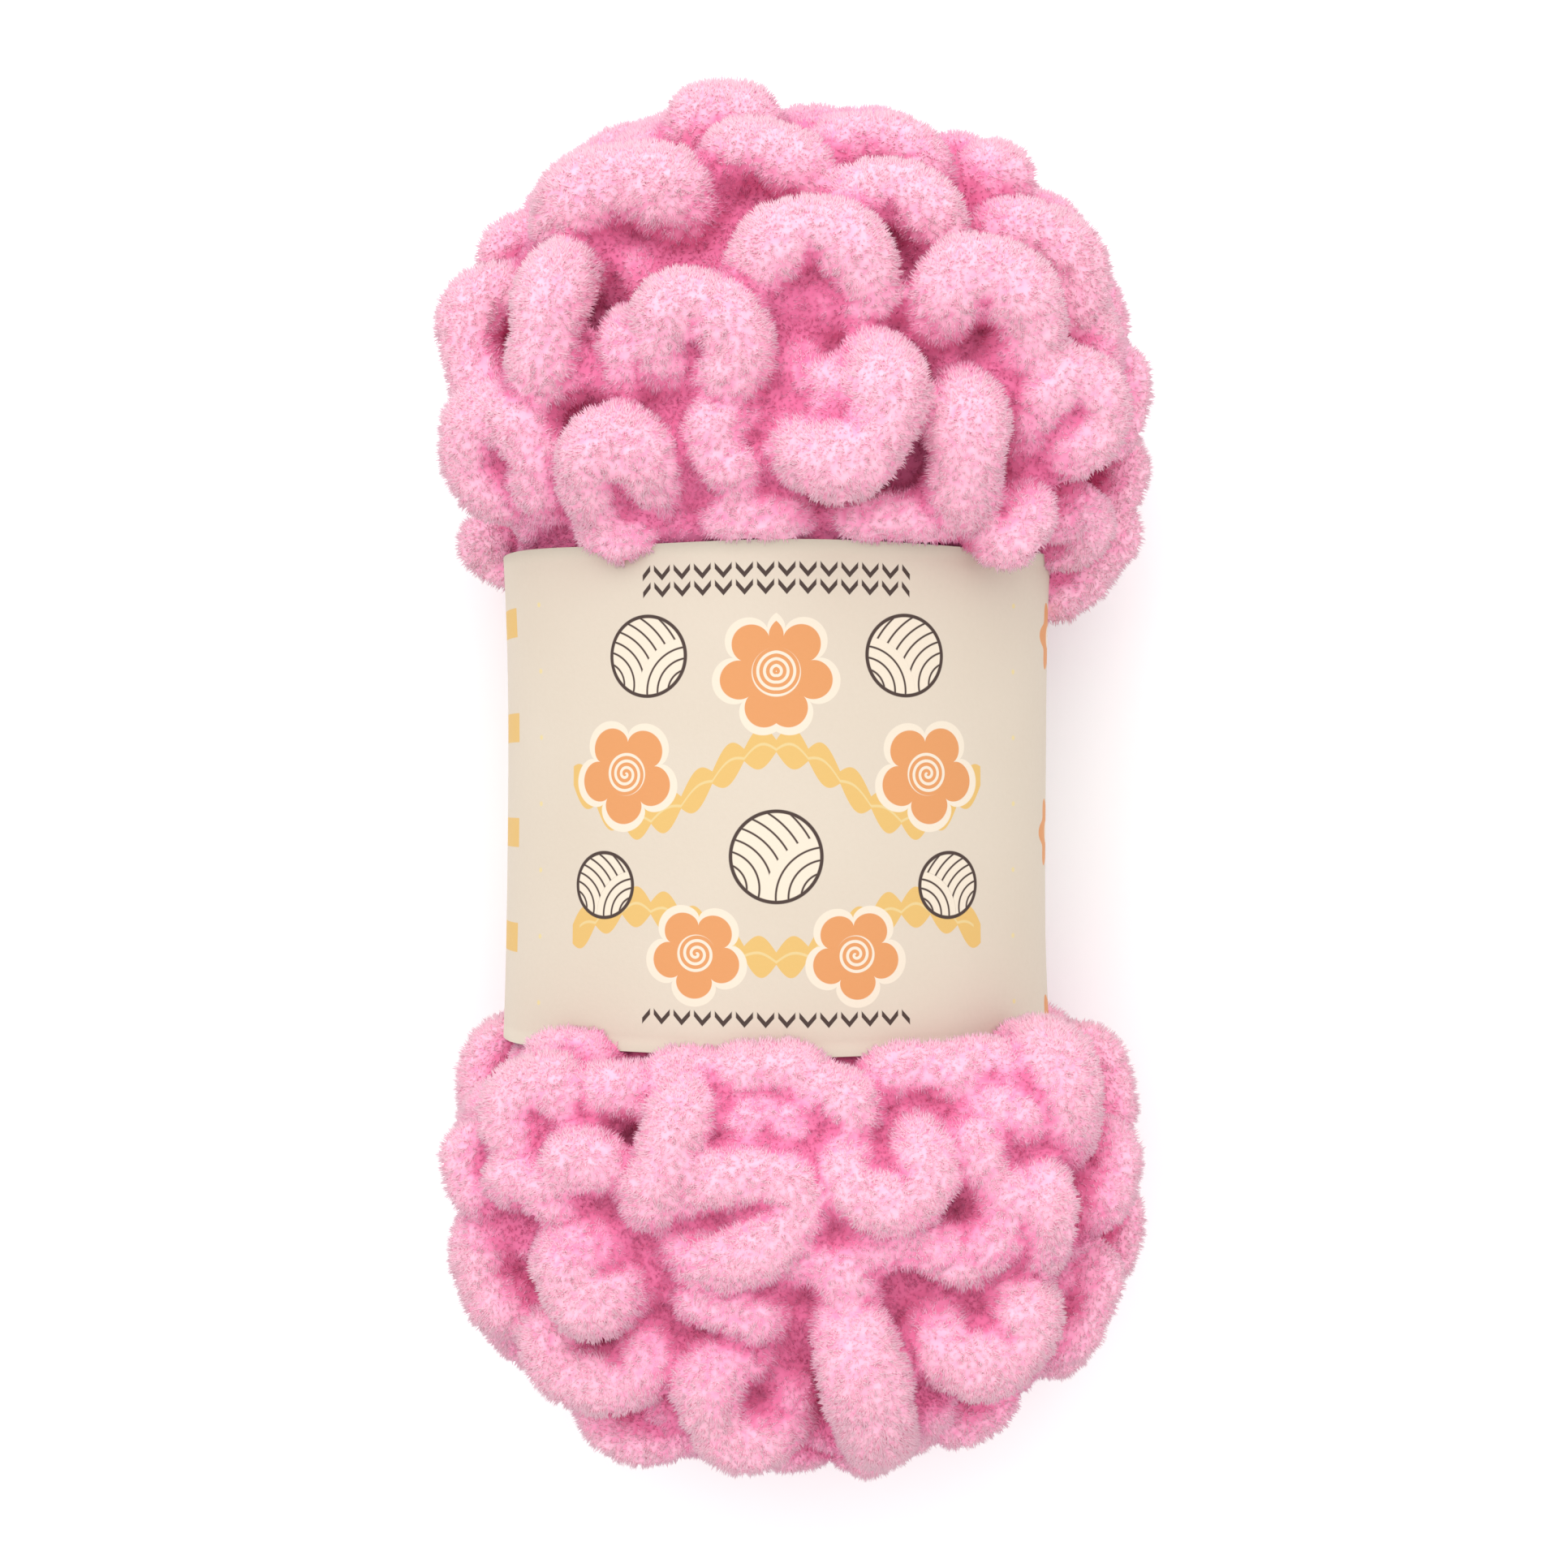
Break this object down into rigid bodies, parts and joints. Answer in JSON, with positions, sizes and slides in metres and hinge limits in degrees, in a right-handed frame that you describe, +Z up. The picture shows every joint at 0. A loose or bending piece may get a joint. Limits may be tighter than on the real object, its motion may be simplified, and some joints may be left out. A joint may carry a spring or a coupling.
{
  "type": "skein of finger loop yarn",
  "caption": "Skein of thick plush loop yarn for knitting by hand, drawn in at its waist by a printed paper band and lying on its back.",
  "frame": {"origin": "on the surface that the skein lies on, under the middle of its box", "axes": "+X across the skein, +Y along its length, +Z up, out of the printed front of the band"},
  "size_m": [0.1256, 0.246, 0.0944],
  "materials": {
    "plush_yarn": "plush chenille pile, matt",
    "band_paper": "smooth uncoated paper, printed"
  },
  "bodies": {
    "root": {"yarn_skein": "plush_yarn", "paper_band": "band_paper"}
  },
  "joints": []
}
